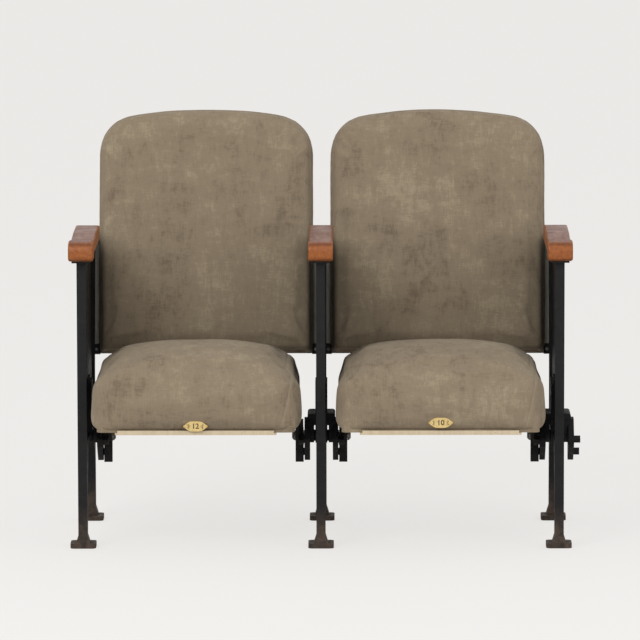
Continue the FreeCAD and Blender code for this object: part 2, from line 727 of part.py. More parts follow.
def make_hinge_bracket(name, standard, side):
    body = new_body(name, STANDARDS[standard])
    half = "bracket_width / 2"
    plate = [
        about_pivot(less(half) + " / 2", "-bracket_drop", "10"),
        about_pivot(f"{half} / 2", "-bracket_drop", "10"),
        about_pivot(half, "shelf_height", "12"),
        about_pivot(f"{half} - 4", "bracket_top", "10"),
        about_pivot(f"4 - {half}", "bracket_top", "10"),
        about_pivot(less(half), "shelf_height", "12"),
    ]
    near, far = span(side, "bracket_back", BRACKET_FAR)
    pad(body, "plate", "YZ_Plane", near, far, plate)
    near, far = span(side, "bracket_back", "shelf_reach")
    shelf_top = f"{PIVOT_Z} + shelf_height + shelf_thickness"
    rim = "shelf_thickness / 2 - 0.5"
    inner, outer = (near, far) if side > 0 else (far, near)
    lip = [
        (inner, f"{PIVOT_Z} + shelf_height", "0"),
        (outer, f"{PIVOT_Z} + shelf_height", rim),
        (outer, shelf_top, rim),
        (inner, shelf_top, "0"),
    ]
    pad(body, "shelf", "XZ_Plane", f"{PIVOT_Y} - {half}", f"{PIVOT_Y} + {half}", lip)
    root = [
        about_pivot("-hub_width / 2", "0.65 * shelf_height"),
        about_pivot("hub_width / 2", "0.65 * shelf_height"),
        about_pivot("hub_width / 2", "shelf_height + 1"),
        about_pivot("-hub_width / 2", "shelf_height + 1"),
    ]
    pad(body, "root", "YZ_Plane", *span(side, "bracket_back", "shelf_reach - 2"), root)
    hub = [
        about_pivot("-hub_width / 2", "-bracket_drop", "22"),
        about_pivot("hub_width / 2", "-bracket_drop", "22"),
        about_pivot("hub_width / 2", "shelf_height + 1", "2"),
        about_pivot("-hub_width / 2", "shelf_height + 1", "2"),
    ]
    pad(body, "hub", "YZ_Plane", *span(side, f"{BRACKET_FAR} + hub_gap", "shelf_reach"), hub)
    round_pad(body, "boss", "YZ_Plane", *span(side, "bracket_back", "shelf_reach"),
              (PIVOT_Y, PIVOT_Z), "2 * bracket_drop - 4")
    leaf = [
        about_pivot(f"{STOP_FAR} + 2", "-leaf_drop", "6"),
        about_pivot(f"{STOP_FAR} + 1", "0.2 * leaf_top", "30"),
        about_pivot("14", "leaf_top", "10"),
        about_pivot("-20", "leaf_top", "12"),
        swung(f"{STOP_FAR} + 2", "-stop_low - 3", "7"),
        swung(f"{STOP_NEAR} - 8", "-stop_low - 3", "7"),
        about_pivot(f"{STOP_NEAR} - 8", "-leaf_drop", "8"),
    ]
    pad(body, "leaf", "YZ_Plane", *span(side, "leaf_near", LEAF_FAR), leaf)
    for stop, turn in (("rear", about_pivot), ("front", swung)):
        pad(body, f"{stop}_stop", "YZ_Plane", *span(side, "leaf_near + 1", f"{LEAF_FAR} + stop_reach"),
            stop_outline(STOP_NEAR, STOP_FAR, turn))
    drill(body, "pivot_bore", "YZ_Plane", *span(side, "bracket_back + 1.5", f"{LEAF_FAR} + 1"),
          [(PIVOT_Y, PIVOT_Z)], "pivot_bolt")
    outward = "x" if side > 0 else "-x"
    for end, y in bracket_bolt_places().items():
        height = f"{PIVOT_Z} + bracket_bolt_height"
        bore(body, f"{end}_bolt_hole", (f"{side} * (bracket_back - 1)", y, height), outward,
             "bracket_bolt", "bracket_plate + 2")
        bore(body, f"{end}_bolt_sink", (f"{side} * ({BRACKET_FAR} - 3)", y, height), outward,
             "bracket_bolt", "3", "bracket_bolt_head")
    return body


def make_bracket_bolts():
    """Through bolts with a flush head in each bracket, and a nut where a standard has one bracket only."""
    pieces = []
    for key, sides in BRACKET_SIDES.items():
        for end, y in bracket_bolt_places().items():
            height = f"{PIVOT_Z} + bracket_bolt_height"
            name = f"{key}_{end}_bracket_bolt"
            low = less(f"{BRACKET_FAR}") if -1 in sides else less("bracket_back + 6")
            pieces.append(rod(name, (f"{STANDARDS[key]} + {low}", y, height), "x",
                              "bracket_bolt", f"{BRACKET_FAR} - {low}"))
            for side in sides:
                pieces.append(rod(f"{name}_head_{'left' if side < 0 else 'right'}",
                                  (f"{STANDARDS[key]} + {side} * ({BRACKET_FAR} - 3)", y, height),
                                  "x" if side > 0 else "-x", "bracket_bolt", "3", "bracket_bolt_head"))
            if -1 not in sides:
                pieces.append(rod(f"{name}_nut", (f"{STANDARDS[key]} - bracket_back", y, height), "-x",
                                  "bracket_bolt_head", "5", "0.85 * bracket_bolt_head"))
    return group("hinge_bracket_bolts", pieces)


def make_stop_buffers(name, standard, side):
    """Rubber blocks on both stops: the tail of the hinge arm comes up against them."""
    body = new_body(name, STANDARDS[standard])
    for stop, turn in (("rear", about_pivot), ("front", swung)):
        pad(body, stop, "YZ_Plane", *span(side, f"{LEAF_FAR} + 1", f"{LEAF_FAR} + stop_reach"),
            stop_outline("arm_tail / 2 + running_gap", STOP_NEAR, turn))
    return body


def make_pivot_bolt(name, standard, side):
    outward = "x" if side > 0 else "-x"
    across = STANDARDS[standard]
    head = f"{ARM_FAR} + running_gap"
    return group(name, [
        rod(f"{name}_shank", (f"{across} + {side} * (bracket_back + 1.5)", PIVOT_Y, PIVOT_Z), outward,
            "pivot_bolt", f"{head} - bracket_back"),
        rod(f"{name}_head", (f"{across} + {side} * ({head})", PIVOT_Y, PIVOT_Z), outward,
            "pivot_bolt_head", "pivot_head_length / 2", "0.9 * pivot_bolt_head"),
        rod(f"{name}_dome", (f"{across} + {side} * ({head} + pivot_head_length / 2)", PIVOT_Y, PIVOT_Z), outward,
            "0.9 * pivot_bolt_head", "pivot_head_length / 2", "0.55 * pivot_bolt_head"),
    ])


def make_pivot_washer(name, standard, side):
    body = new_body(name, STANDARDS[standard])
    levels = span(side, LEAF_FAR, f"{ARM_NEAR} - running_gap")
    round_pad(body, "disc", "YZ_Plane", *levels, (PIVOT_Y, PIVOT_Z), "pivot_bolt + 10")
    drill(body, "bore", "YZ_Plane", f"{levels[0]} - 1", f"{levels[1]} + 1", [(PIVOT_Y, PIVOT_Z)],
          "pivot_bolt + 2 * bearing_clearance")
    return body


def make_hinge_arm(name, standard, side):
    """The casting that carries one side of a seat and turns on the pivot bolt."""
    body = new_body(name, STANDARDS[standard])
    plate_near = f"({ARM_FAR} - arm_plate)"
    half_tail = "arm_tail / 2"
    half_length = "arm_length / 2"
    web = [
        about_pivot(less(half_tail), "-arm_drop", "5"),
        about_pivot(half_tail, "-arm_drop", "5"),
        about_pivot(half_tail, "-arm_hub / 2", "6"),
        about_pivot(half_length, "seat_rise - flange_thickness - 2", "4"),
        about_pivot(half_length, "seat_rise", "0"),
        about_pivot(less(half_length), "seat_rise", "0"),
        about_pivot(less(half_length), "seat_rise - flange_thickness - 2", "4"),
        about_pivot(less(half_tail), "-arm_hub / 2", "6"),
    ]
    pad(body, "web", "YZ_Plane", *span(side, plate_near, ARM_FAR), web)
    tail = [
        about_pivot(less(half_tail), "-arm_drop", "5"),
        about_pivot(half_tail, "-arm_drop", "5"),
        about_pivot(half_tail, "0"),
        about_pivot(less(half_tail), "0"),
    ]
    pad(body, "tail", "YZ_Plane", *span(side, ARM_NEAR, ARM_FAR), tail)
    rib = [
        about_pivot("-arm_hub / 2 + 1", "0"),
        about_pivot("0", "0"),
        about_pivot(f"7 - {half_length}", "seat_rise - 1"),
        about_pivot(less(half_length), "seat_rise - 1"),
        about_pivot(less(half_length), "seat_rise - flange_thickness"),
    ]
    pad(body, "rib", "YZ_Plane", *span(side, ARM_NEAR, ARM_FAR), rib)
    round_pad(body, "hub", "YZ_Plane", *span(side, ARM_NEAR, ARM_FAR), (PIVOT_Y, PIVOT_Z), "arm_hub")
    low, high = span(side, plate_near, f"{plate_near} + flange_width")
    plan = rectangle(low, high, f"{PIVOT_Y} - {half_length}", f"{PIVOT_Y} + {half_length}", "3")
    pad(body, "flange", "XY_Plane", f"{BOARD_BASE} - flange_thickness", BOARD_BASE, plan)
    drill(body, "bush_bore", "YZ_Plane", *span(side, f"{ARM_NEAR} - 1", f"{ARM_FAR} + 1"),
          [(PIVOT_Y, PIVOT_Z)], "pivot_bolt + 2 * bearing_clearance + 2 * bush_wall")
    drill(body, "screw_holes", "XY_Plane", f"{BOARD_BASE} - flange_thickness - 1", f"{BOARD_BASE} + 1",
          [(f"{side} * {FLANGE_SCREW}", y) for y in flange_screw_rows()], "flange_screw")
    return body


def flange_screw_rows():
    return [f"{PIVOT_Y} + {side} * flange_screw_spacing / 2" for side in (-1, 1)]


def make_bush(name, standard, side):
    body = new_body(name, STANDARDS[standard])
    near, far = span(side, ARM_NEAR, ARM_FAR)
    round_pad(body, "sleeve", "YZ_Plane", near, far, (PIVOT_Y, PIVOT_Z),
              "pivot_bolt + 2 * bearing_clearance + 2 * bush_wall")
    drill(body, "bore", "YZ_Plane", f"{near} - 1", f"{far} + 1", [(PIVOT_Y, PIVOT_Z)],
          "pivot_bolt + 2 * bearing_clearance")
    return body


# Seats

def make_cushion(key):
    """The sprung cushion: a wide nose before the standards, a narrower seat between them."""
    body = new_body(f"{key}_seat_cushion", SEAT_MIDDLES[key])
    nose = f"({FRONT} - cushion_overhang)"
    heel = f"({FRONT} + cushion_reach)"
    half = f"{CUSHION_WIDTH} / 2"
    waist = "(seat_pitch / 2 - cushion_waist_gap)"
    base = CUSHION_BASE
    side_view = [
        (nose, base, "18"),
        (heel, base, "18"),
        (heel, f"{base} + cushion_rear_height", "45"),
        (f"{FRONT} + 70", f"{base} + cushion_crown_height", "250"),
        (nose, f"{base} + cushion_front_height", "55"),
    ]
    pad(body, "block", "YZ_Plane", less(half), half, side_view)
    front_view = [
        (less(half), base, "22"),
        (half, base, "22"),
        (half, f"{base} + cushion_side_height", "cushion_shoulder"),
        ("0", f"{base} + cushion_crown_height + 4", "cushion_crown"),
        (less(half), f"{base} + cushion_side_height", "cushion_shoulder"),
    ]
    trim_outside(body, "crown", "XZ_Plane", f"{nose} - 5", f"{heel} + 5", front_view, "2 * seat_pitch")
    plan = [
        (less(half), nose, "60"),
        (half, nose, "60"),
        (half, f"{FRONT} - 14", "12"),
        (waist, f"{FRONT} + 2", "12"),
        (waist, heel, "25"),
        (less(waist), heel, "25"),
        (less(waist), f"{FRONT} + 2", "12"),
        (less(half), f"{FRONT} - 14", "12"),
    ]
    trim_outside(body, "plan", "XY_Plane", f"{base} - 5", f"{base} + cushion_crown_height + 20", plan,
                 "2 * seat_pitch")
    # Room for the board and for the pan's lip
    gap = "board_clearance"
    board_room = rectangle(f"-{BOARD_WIDTH} / 2 - {gap}", f"{BOARD_WIDTH} / 2 + {gap}",
                           f"{FRONT} - board_overhang - {gap}", f"{FRONT} + board_reach + {gap}")
    pocket(body, "board_room", "XY_Plane", f"{base} - 1", f"{BOARD_BASE} + board_thickness", board_room)
    notch = rectangle(f"-{PAN_WIDTH} / 2 - 1", f"{PAN_WIDTH} / 2 + 1",
                      f"{nose} - 2", f"{FRONT} - board_overhang")
    pocket(body, "lip_notch", "XY_Plane", f"{base} - 1", f"{BOARD_BASE} - pan_thickness + pan_lip + 0.5", notch)
    drill(body, "pin_holes", "XZ_Plane", f"{nose} - 2", f"{nose} + plate_pin_length + 1",
          plate_pin_places(key), "plate_pin")
    return body


def plate_pin_places(key):
    return [(f"{side} * (plate_length / 2 - 5)", PLATE_HEIGHTS[key]) for side in (-1, 1)]


def make_seat_board(key):
    """The plywood board that the cushion is built on and that the hinge arms are screwed to."""
    body = new_body(f"{key}_seat_board", SEAT_MIDDLES[key])
    front = f"{FRONT} - board_overhang"
    rear = f"{FRONT} + board_reach"
    pad(body, "ply", "XY_Plane", BOARD_BASE, f"{BOARD_BASE} + board_thickness",
        rectangle(f"-{BOARD_WIDTH} / 2", f"{BOARD_WIDTH} / 2", front, rear, "12"))
    drill(body, "pin_holes", "XZ_Plane", f"{front} - 1", f"{FRONT} - cushion_overhang + plate_pin_length + 1",
          plate_pin_places(key), "plate_pin")
    drill(body, "pan_screw_holes", "XY_Plane", f"{BOARD_BASE} - 1", f"{BOARD_BASE} + 13",
          pan_screw_places(), "pan_screw")
    # The arms stay put while the cushion sits off centre, so their screws are placed from the standards
    arm_screws = [(f"{side} * (seat_pitch / 2 - {FLANGE_SCREW}) + {SEATS[key]} - {SEAT_MIDDLES[key]}", y)
                  for side in (-1, 1) for y in flange_screw_rows()]
    drill(body, "arm_screw_holes", "XY_Plane", f"{BOARD_BASE} - 1", f"{BOARD_BASE} + 14",
          arm_screws, "flange_screw")
    return body


def pan_screw_places():
    rows = (f"{FRONT} - board_overhang + pan_screw_inset", f"{FRONT} + pan_reach - pan_screw_inset")
    return [(f"{step} * pan_screw_spacing", row) for step in (-1, 0, 1) for row in rows]


def make_seat_pan(key):
    """The painted pan that closes the seat from below; its lip shows under the cushion's nose."""
    body = new_body(f"{key}_seat_pan", SEAT_MIDDLES[key])
    half = f"{PAN_WIDTH} / 2"
    front = f"{FRONT} - pan_overhang"
    base = f"{BOARD_BASE} - pan_thickness"
    pad(body, "sheet", "XY_Plane", base, BOARD_BASE,
        rectangle(less(half), half, front, f"{FRONT} + pan_reach", "5"))
    pad(body, "lip", "XY_Plane", base, f"{base} + pan_lip",
        rectangle(f"{less(half)} + 5", f"{half} - 5", front, f"{front} + pan_thickness"))
    drill(body, "screw_holes", "XY_Plane", f"{base} - 1", f"{BOARD_BASE} + 1", pan_screw_places(), "pan_screw")
    return body


def make_seat_screws(key):
    pan_base = f"{BOARD_BASE} - pan_thickness"
    pieces = []
    for number, (x, y) in enumerate(pan_screw_places()):
        base = (f"{SEAT_MIDDLES[key]} + {x}", y, pan_base)
        pieces.append(rod(f"{key}_pan_screw_{number}", base, "z", "pan_screw", "pan_thickness + 12"))
        pieces.append(rod(f"{key}_pan_screw_head_{number}", base, "-z", "2 * pan_screw", "1.6", "pan_screw"))
    group(f"{key}_pan_screws", pieces)
    flange_base = f"{BOARD_BASE} - flange_thickness"
    pieces = []
    places = [(side, y) for side in (-1, 1) for y in flange_screw_rows()]
    for number, (side, y) in enumerate(places):
        base = (f"{SEATS[key]} + {side} * (seat_pitch / 2 - {FLANGE_SCREW})", y, flange_base)
        pieces.append(rod(f"{key}_arm_screw_{number}", base, "z", "flange_screw", "flange_thickness + 13"))
        pieces.append(rod(f"{key}_arm_screw_head_{number}", base, "-z", "1.9 * flange_screw", "2", "flange_screw"))
    group(f"{key}_hinge_arm_screws", pieces)


def make_number_plate(key):
    body = new_body(f"{key}_number_plate", SEAT_MIDDLES[key])
    middle = PLATE_HEIGHTS[key]
    half = "plate_length / 2"
    rise = "plate_height / 2"
    oval = [
        (f"-{half}", middle, "2"),
        (f"-{half} * 0.45", f"{middle} - {rise}", "20"),
        (f"{half} * 0.45", f"{middle} - {rise}", "20"),
        (half, middle, "2"),
        (f"{half} * 0.45", f"{middle} + {rise}", "20"),
        (f"-{half} * 0.45", f"{middle} + {rise}", "20"),
    ]
    rear = f"{FRONT} - cushion_overhang"
    pad(body, "brass", "XZ_Plane", f"{rear} - plate_thickness", rear, oval)
    drill(body, "pin_holes", "XZ_Plane", f"{rear} - plate_thickness - 1", f"{rear} + 1",
          plate_pin_places(key), "plate_pin")
    pins = []
    for number, (x, z) in enumerate(plate_pin_places(key)):
        across = f"{SEAT_MIDDLES[key]} + {x}"
        pins.append(rod(f"{key}_plate_pin_{number}", (across, f"{rear} - plate_thickness - 0.2", z), "y",
                        "plate_pin", "plate_pin_length"))
        pins.append(rod(f"{key}_plate_pin_head_{number}", (across, f"{rear} - plate_thickness - 1", z), "y",
                        "1.2 * plate_pin", "1", "2 * plate_pin"))
    group(f"{key}_plate_pins", pins)
    return body


# Build

for key in STANDARDS:
    make_standard(key)
    make_armrest(key)
make_armrest_screws()
make_bracket_bolts()
make_hinge_bracket("spare_hinge_bracket", "right", 1)
for key in SEATS:
    make_back_pad(key)
    make_back_board(key)
    make_back_panel(key)
    make_back_fastenings(key)
    for end, standard, side in SEAT_HINGES[key]:
        stem = f"{key}_seat_{end}"
        make_hinge_bracket(f"{stem}_hinge_bracket", standard, side)
        make_stop_buffers(f"{stem}_stop_buffers", standard, side)
        make_pivot_bolt(f"{stem}_pivot_bolt", standard, side)
        make_pivot_washer(f"{stem}_pivot_washer", standard, side)
        make_hinge_arm(f"{stem}_hinge_arm", standard, side)
        make_bush(f"{stem}_pivot_bush", standard, side)
    make_cushion(key)
    make_seat_board(key)
    make_seat_pan(key)
    make_seat_screws(key)
    make_number_plate(key)
doc.recompute()

# Check, then write one file for each sub-part

for item in doc.Objects:
    if "Invalid" in item.State or "Error" in item.State:
        raise RuntimeError(f"{item.Name} did not rebuild: {item.State}")
for item in PARTS:
    if item.Shape.isNull() or not item.Shape.isValid():
        raise RuntimeError(f"{item.Label} has no valid shape")
os.makedirs("parts", exist_ok=True)
for item in PARTS:
    item.Shape.exportStep(f"parts/{item.Label}.step")
print(len(PARTS), "sub-parts written")
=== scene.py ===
from math import cos, pi, radians, sin

import bpy
import numpy as np
from mathutils import Matrix, Vector, noise as field


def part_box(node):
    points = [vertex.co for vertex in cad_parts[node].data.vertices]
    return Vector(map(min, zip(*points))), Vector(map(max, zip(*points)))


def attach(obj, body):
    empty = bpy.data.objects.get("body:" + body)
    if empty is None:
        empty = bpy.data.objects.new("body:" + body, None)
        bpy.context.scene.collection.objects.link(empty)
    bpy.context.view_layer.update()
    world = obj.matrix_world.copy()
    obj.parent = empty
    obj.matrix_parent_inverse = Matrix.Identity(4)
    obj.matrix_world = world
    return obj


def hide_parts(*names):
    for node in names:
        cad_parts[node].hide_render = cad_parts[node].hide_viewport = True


bl_info = {
    "name": "Auditorium seat bank",
    "version": (1, 0, 0),
    "blender": (4, 5, 0),
    "location": "View3D > Sidebar > Seat bank",
    "description": "Dresses a bank of tip-up auditorium seats: velvet, wood, cast iron and brass",
    "category": "Object",
}

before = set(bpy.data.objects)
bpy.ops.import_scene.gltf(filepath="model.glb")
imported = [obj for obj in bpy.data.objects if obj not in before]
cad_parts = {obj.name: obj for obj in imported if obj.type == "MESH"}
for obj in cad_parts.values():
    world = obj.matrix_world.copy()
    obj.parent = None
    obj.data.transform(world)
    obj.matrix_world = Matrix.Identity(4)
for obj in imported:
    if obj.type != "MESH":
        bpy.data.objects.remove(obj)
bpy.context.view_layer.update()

SEATS = ("left", "right")
SEAT_NUMBERS = ("12", "10")
STANDARDS = ("left", "centre", "right")
BACK_TILT = radians(12)
WARM_WHITE = (1.0, 0.985, 0.965, 1)


# What a user would change

class SeatBankCovers(bpy.types.PropertyGroup):
    voxel: bpy.props.FloatProperty(
        name="Cover detail", description="Size of the cover's faces before the last subdivision",
        default=0.0055, min=0.004, max=0.01, unit="LENGTH")
    pressure: bpy.props.FloatProperty(
        name="Stuffing", description="Pressure of the stuffing inside a cover",
        default=4.0, min=0.0, max=10.0)
    seat_swell: bpy.props.FloatProperty(
        name="Seat swell", description="How far the stuffing may push a seat's cover out",
        default=0.006, min=0.0, unit="LENGTH")
    back_swell: bpy.props.FloatProperty(
        name="Back swell", description="How far the stuffing may push a back's cover out",
        default=0.006, min=0.0, unit="LENGTH")
    dome_slope: bpy.props.FloatProperty(
        name="Dome slope", description="How far a seat falls from its middle to its sides",
        default=0.026, min=0.0, unit="LENGTH")
    dome_shoulder: bpy.props.FloatProperty(
        name="Dome shoulder", description="How much further a seat rounds down at its very sides",
        default=0.034, min=0.0, unit="LENGTH")
    seam_depth: bpy.props.FloatProperty(
        name="Seam depth", description="Depth of the seams down the front corners of a seat",
        default=0.0010, min=0.0, unit="LENGTH")


class SeatBankFinishes(bpy.types.PropertyGroup):
    nap: bpy.props.FloatVectorProperty(
        name="Velvet", description="Middle colour of the velvet",
        subtype="COLOR", size=4, min=0, max=1, default=(0.245, 0.195, 0.135, 1))
    brushed_nap: bpy.props.FloatVectorProperty(
        name="Brushed velvet", description="Colour where the nap is brushed up",
        subtype="COLOR", size=4, min=0, max=1, default=(0.330, 0.272, 0.185, 1))
    crushed_nap: bpy.props.FloatVectorProperty(
        name="Crushed velvet", description="Colour where the nap lies flat",
        subtype="COLOR", size=4, min=0, max=1, default=(0.165, 0.125, 0.086, 1))
    varnish: bpy.props.FloatVectorProperty(
        name="Varnish", description="Colour of the dull old varnish on top of the armrests",
        subtype="COLOR", size=4, min=0, max=1, default=(0.235, 0.118, 0.085, 1))
    # Also stands for painted light: the lit front and sides of the armrests are given this lighter
    # orange.
    lit_bare_wood: bpy.props.FloatVectorProperty(
        name="Worn wood", description="Colour of the armrests where the varnish is worn",
        subtype="COLOR", size=4, min=0, max=1, default=(0.34, 0.105, 0.020, 1))
    iron: bpy.props.FloatVectorProperty(
        name="Iron paint", description="Colour of the paint on the castings",
        subtype="COLOR", size=4, min=0, max=1, default=(0.0105, 0.0105, 0.011, 1))
    rust: bpy.props.FloatVectorProperty(
        name="Rust", description="Colour of the rust on the feet",
        subtype="COLOR", size=4, min=0, max=1, default=(0.085, 0.060, 0.045, 1))


def covers():
    return bpy.context.scene.seat_bank_covers


def finishes():
    return bpy.context.scene.seat_bank_finishes


# Hands for picking and shaping

def let_go():
    """Deselect everything, because an operator acts on all that is selected."""
    bpy.ops.object.select_all(action="DESELECT")


def pick(piece):
    """Select one piece alone and make it active."""
    let_go()
    piece.select_set(True)
    bpy.context.view_layer.objects.active = piece


def new_piece(name):
    """The primitive just added, under its own name."""
    piece = bpy.context.object
    piece.name = name
    piece.data.name = name
    return piece


def settle(piece):
    """Put a piece's place and size into its mesh."""
    pick(piece)
    bpy.ops.object.transform_apply(location=True, rotation=True, scale=True)
    return piece


def settle_size(piece, size):
    """Give a piece its size, and put its place and size into its mesh."""
    piece.scale = size
    return settle(piece)


def finish_modifier(piece, kind, **settings):
    """Add a modifier and apply it."""
    pick(piece)
    modifier = piece.modifiers.new(kind.title(), kind)
    for name, setting in settings.items():
        setattr(modifier, name, setting)
    bpy.ops.object.modifier_apply(modifier=modifier.name)


def middle_of(low, high):
    return [(first + second) / 2 for first, second in zip(low, high)]


def points_of(piece):
    points = np.empty(len(piece.data.vertices) * 3)
    piece.data.vertices.foreach_get("co", points)
    return points.reshape(-1, 3)


def normals_of(piece):
    normals = np.empty(len(piece.data.vertices) * 3)
    piece.data.vertices.foreach_get("normal", normals)
    return normals.reshape(-1, 3)


def move_points(piece, points):
    piece.data.vertices.foreach_set("co", np.asarray(points, dtype=float).ravel())
    piece.data.update()


def coat(piece, material):
    piece.data.materials.clear()
    piece.data.materials.append(material)


# Hands for materials

def new_material(name, sockets):
    """A material whose plain shader values are set by socket."""
    material = bpy.data.materials.new(name)
    material.use_nodes = True
    shader = material.node_tree.nodes["Principled BSDF"]
    for socket, setting in sockets.items():
        shader.inputs[socket].default_value = setting
    return material, material.node_tree, shader


def node(tree, kind, inputs=None, **settings):
    """A node with its settings, and each input either set or joined to another node's output."""
    made = tree.nodes.new(kind)
    for name, setting in settings.items():
        setattr(made, name, setting)
    for name, source in (inputs or {}).items():
        if isinstance(source, bpy.types.NodeSocket):
            tree.links.new(source, made.inputs[name])
        else:
            made.inputs[name].default_value = source
    return made


def surface_place(tree):
    return node(tree, "ShaderNodeTexCoord").outputs["Object"]


def stretched(tree, place, scale):
    return node(tree, "ShaderNodeMapping", {"Vector": place, "Scale": scale}).outputs["Vector"]


def noise(tree, place, scale, detail=3.0, roughness=0.55, distortion=0.0):
    return node(tree, "ShaderNodeTexNoise", {
        "Vector": place, "Scale": scale, "Detail": detail, "Roughness": roughness,
        "Distortion": distortion}).outputs["Fac"]


def spread(tree, source, low, high, to_low=0.0, to_high=1.0):
    """Stretch the part of source from low to high over the whole of another range."""
    return node(tree, "ShaderNodeMapRange", {
        "Value": source, "From Min": low, "From Max": high, "To Min": to_low, "To Max": to_high},
        interpolation_type="SMOOTHSTEP").outputs["Result"]


def sums(tree, first, second, operation="ADD"):
    return node(tree, "ShaderNodeMath", {0: first, 1: second}, operation=operation).outputs[0]


def blend(tree, share, first, second, way="MIX"):
    return node(tree, "ShaderNodeMix", {0: share, 6: first, 7: second},
                data_type="RGBA", blend_type=way).outputs[2]


def split(tree, place):
    return node(tree, "ShaderNodeSeparateXYZ", {0: place}).outputs


def lay(tree, shader, colour, roughness=None):
    """Join a colour to a shader, and a roughness where it varies."""
    tree.links.new(colour, shader.inputs["Base Color"])
    if roughness is not None:
        tree.links.new(roughness, shader.inputs["Roughness"])


def bump(tree, shader, height, distance, strength):
    made = node(tree, "ShaderNodeBump", {"Height": height, "Distance": distance, "Strength": strength})
    tree.links.new(made.outputs["Normal"], shader.inputs["Normal"])


# Materials

def velvet():
    """Short cut-pile velvet: brushed patches, faint lines of weft and warp, and a fine pile."""
    material, tree, shader = new_material("velvet", {
        "Roughness": 0.92, "Specular IOR Level": 0.15, "Sheen Weight": 0.18,
        "Sheen Roughness": 0.45, "Sheen Tint": (0.85, 0.80, 0.70, 1)})
    thread_colour = (0.33, 0.275, 0.19, 1)
    look = finishes()
    place = surface_place(tree)
    patches = noise(tree, place, 9.0, 4.0, 0.55, 0.4)
    drifts = noise(tree, stretched(tree, place, (14, 30, 42)), 1.0, 4.0, 0.6, 0.5)
    smears = noise(tree, stretched(tree, place, (46, 30, 15)), 1.0, 4.0, 0.6, 0.8)
    clots = noise(tree, place, 95.0, 3.0, 0.6)
    weft = noise(tree, stretched(tree, place, (60, 420, 420)), 1.0, 2.0)
    warp = noise(tree, stretched(tree, place, (420, 60, 60)), 1.0, 2.0)
    pile = noise(tree, place, 900.0, 2.0, 0.7)
    threads = sums(tree, weft, warp)
    shade = spread(tree, patches, 0.28, 0.72, -0.24, 0.24)
    for source, low, high, weight in (
        (drifts, 0.3, 0.7, 0.13),
        (smears, 0.32, 0.68, 0.15),
        (clots, 0.3, 0.7, 0.08),
        (threads, 0.72, 1.28, 0.13),
        (pile, 0.3, 0.7, 0.10),
    ):
        shade = sums(tree, shade, spread(tree, source, low, high, -weight, weight))
    dark = spread(tree, shade, -0.62, -0.02, 1.0, 0.0)
    light = spread(tree, shade, 0.02, 0.60)
    colour = blend(tree, light, tuple(look.nap), tuple(look.brushed_nap))
    colour = blend(tree, dark, colour, tuple(look.crushed_nap))
    seam = node(tree, "ShaderNodeAttribute", attribute_name="seam").outputs["Fac"]
    lay(tree, shader, blend(tree, seam, colour, thread_colour))
    height = sums(tree, sums(tree, threads, 0.5, "MULTIPLY"), pile)
    bump(tree, shader, height, 0.0006, 0.6)
    return material


def armrest_wood():
    """Old varnished hardwood: dark on top, orange on its other faces, partly worn bare where hands and
    hips have rubbed and partly painted light where light falls on them, with painted shade along its
    front edges.
    """
    material, tree, shader = new_material("armrest_wood", {
        "Roughness": 0.38, "Specular IOR Level": 0.35, "Coat Weight": 0.12, "Coat Roughness": 0.28})
    lit_worn_grain = (0.215, 0.058, 0.013, 1)
    varnished_grain = (0.155, 0.068, 0.048, 1)
    streak_colour = (0.085, 0.030, 0.018, 1)
    # Colour of the painted shade along the armrest's front edges.
    shade_colour = (0.045, 0.017, 0.012, 1)
    look = finishes()
    place = surface_place(tree)
    grain = noise(tree, stretched(tree, place, (1, 0.06, 1)), 150.0, 5.0, 0.65, 0.5)
    streaks = noise(tree, stretched(tree, place, (1, 0.03, 1)), 420.0, 3.0, 0.6, 0.3)
    smudges = noise(tree, place, 34.0, 3.0, 0.6)
    facing = split(tree, node(tree, "ShaderNodeTexCoord").outputs["Normal"])
    height = split(tree, place)["Z"]
    # Painted light and wear: faces that don't point up take the lighter orange of bare wood, as if lit,
    # while the top keeps the dark varnish.
    top = spread(tree, facing["Z"], 0.86, 0.985)
    grained = spread(tree, grain, 0.3, 0.72)
    # The orange here is partly bare wood and partly painted light.
    worn = blend(tree, grained, tuple(look.lit_bare_wood), lit_worn_grain)
    kept = blend(tree, grained, tuple(look.varnish), varnished_grain)
    kept_share = sums(tree, top, spread(tree, smudges, 0.3, 0.6, 0.7, 1.0), "MULTIPLY")
    colour = blend(tree, kept_share, worn, kept)
    colour = blend(tree, spread(tree, streaks, 0.56, 0.76, 0.0, 0.35), colour, streak_colour)
    nose_low, nose_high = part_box("centre_armrest")[0][2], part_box("centre_armrest")[1][2]
    # Painted shade: front faces darken towards the armrest's lowest edge and just below its top crest,
    # where shade falls as the surface turns away.
    painted_shade = sums(tree, spread(tree, height, nose_low + 0.007, nose_low + 0.001),
                 spread(tree, height, nose_high - 0.012, nose_high - 0.005))
    painted_shade = sums(tree, painted_shade, spread(tree, facing["Y"], -0.25, -0.8), "MULTIPLY")
    colour = blend(tree, sums(tree, painted_shade, 0.7, "MULTIPLY"), colour, shade_colour)
    lay(tree, shader, colour, spread(tree, smudges, 0.3, 0.7, 0.34, 0.55))
    bump(tree, shader, streaks, 0.0003, 0.35)
    return material


